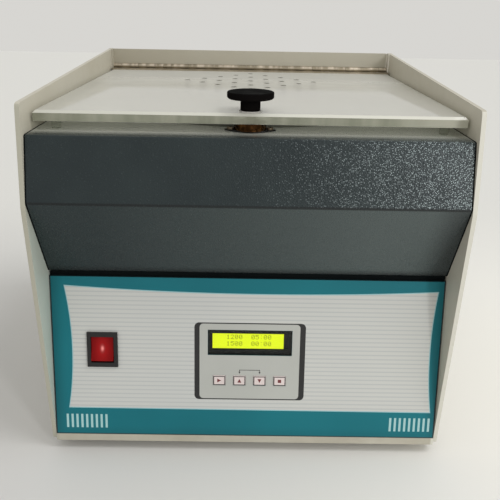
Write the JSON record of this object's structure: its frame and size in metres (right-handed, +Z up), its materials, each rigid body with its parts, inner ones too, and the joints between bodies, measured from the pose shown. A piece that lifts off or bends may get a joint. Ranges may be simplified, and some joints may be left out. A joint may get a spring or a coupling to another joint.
{
  "type": "butterfat centrifuge",
  "caption": "Bench centrifuge in a folded steel cabinet, with a hinged clear lid, knob latch, angle rotor with tube shields, brushless motor, display, keys and rocker switch.",
  "frame": {"origin": "on the bench under the middle of the cabinet, between the feet", "axes": "+Z up, the control panel faces -Y, +X to the right as seen from the front"},
  "size_m": [0.34, 0.345, 0.3148],
  "materials": {
    "cream_paint": "fine satin powder coat",
    "hammertone": "dark blue-grey hammertone paint, semi-gloss",
    "panel_paint": "dark satin paint",
    "overlay_print": "satin printed film, teal with a light grey field",
    "black_rubber": "matt",
    "acrylic": "polished, slightly milky",
    "window_clear": "polished clear",
    "black_plastic": "smooth moulded",
    "display_black": "satin",
    "red_rocker": "translucent red",
    "key_plastic": "satin",
    "brass": "turned, slightly tarnished",
    "black_steel": "black oxide",
    "zinc_steel": "zinc plated",
    "stainless": "brushed stainless",
    "cast_aluminium": "turned and anodised",
    "silicon_steel": "laminated",
    "copper_winding": "enamelled wire",
    "circuit_board": "green solder mask",
    "lead_black": "smooth sheath"
  },
  "bodies": {
    "cabinet": {"base_tray": "cream_paint", "rubber_feet": "black_rubber", "foot_screws": "zinc_steel", "left_side_panel": "cream_paint", "right_side_panel": "cream_paint", "side_panel_screws": "zinc_steel", "back_panel": "cream_paint", "m3_screws": "zinc_steel", "top_hood": "hammertone", "hood_side_seals": "black_rubber", "waist_seal": "black_rubber", "control_panel": "panel_paint", "panel_overlay": "overlay_print", "display_window": "window_clear", "display_module": "display_black", "control_board": "circuit_board", "key_switches": "black_plastic", "board_standoffs": "brass", "power_supply_board": "circuit_board", "motor_driver_board": "circuit_board", "power_switch_body": "black_plastic", "strike_plate": "black_steel", "chamber_bowl": "stainless", "bowl_rim_seal": "black_rubber", "shaft_gaiter": "black_rubber", "hinge_cabinet_leaf": "zinc_steel", "hinge_pin": "zinc_steel", "motor_mount_plate": "zinc_steel", "motor_isolators": "black_rubber", "isolator_bolts": "zinc_steel", "motor_can": "black_steel", "motor_upper_bell": "cast_aluminium", "motor_lower_bell": "cast_aluminium", "motor_bolts": "zinc_steel", "stator_core": "silicon_steel", "stator_coils": "copper_winding", "upper_bearing": "zinc_steel", "lower_bearing": "zinc_steel", "mains_inlet": "black_plastic", "fuse_holder": "black_plastic", "internal_leads": "lead_black"},
    "lid": {"lid_sheet": "acrylic", "hinge_lid_leaf": "zinc_steel", "hinge_lid_screws": "zinc_steel", "lid_bumpers": "window_clear", "latch_collar": "brass", "latch_washer": "zinc_steel"},
    "latch": {"latch_knob": "black_plastic", "latch_spindle": "zinc_steel"},
    "rotor": {"motor_shaft": "zinc_steel", "magnet_rotor": "silicon_steel", "rotor_head": "cast_aluminium", "tube_shields": "stainless", "shield_cushions": "black_rubber", "rotor_nut": "zinc_steel"},
    "rocker": {"power_rocker": "red_rocker"},
    "start_key": {"key_start": "key_plastic"},
    "up_key": {"key_up": "key_plastic"},
    "down_key": {"key_down": "key_plastic"},
    "stop_key": {"key_stop": "key_plastic"}
  },
  "joints": [
    {"name": "lid_hinge", "type": "hinge", "parent": "cabinet", "child": "lid", "pos_m": [0, 0.1617, 0.2954], "axis": [-1, 0, 0], "range_deg": [0, 105]},
    {"name": "latch_turn", "type": "hinge", "parent": "lid", "child": "latch", "pos_m": [-0.0005, -0.1285, 0.2924], "axis": [0, 0, -1], "range_deg": [0, 90]},
    {"name": "rotor_spin", "type": "hinge", "parent": "cabinet", "child": "rotor", "pos_m": [0, 0.0215, 0.099], "axis": [0, 0, 1], "continuous": true},
    {"name": "power_rock", "type": "hinge", "parent": "cabinet", "child": "rocker", "pos_m": [-0.1232, -0.14924, 0.09254], "axis": [1, 0, 0], "range_deg": [0, 14]},
    {"name": "start_press", "type": "slide", "parent": "cabinet", "child": "start_key", "axis": [0, 0.9801, -0.1983], "range_m": [0, 0.0005], "stiffness_N_per_m": 3000},
    {"name": "up_press", "type": "slide", "parent": "cabinet", "child": "up_key", "axis": [0, 0.9801, -0.1983], "range_m": [0, 0.0005], "stiffness_N_per_m": 3000},
    {"name": "down_press", "type": "slide", "parent": "cabinet", "child": "down_key", "axis": [0, 0.9801, -0.1983], "range_m": [0, 0.0005], "stiffness_N_per_m": 3000},
    {"name": "stop_press", "type": "slide", "parent": "cabinet", "child": "stop_key", "axis": [0, 0.9801, -0.1983], "range_m": [0, 0.0005], "stiffness_N_per_m": 3000}
  ]
}
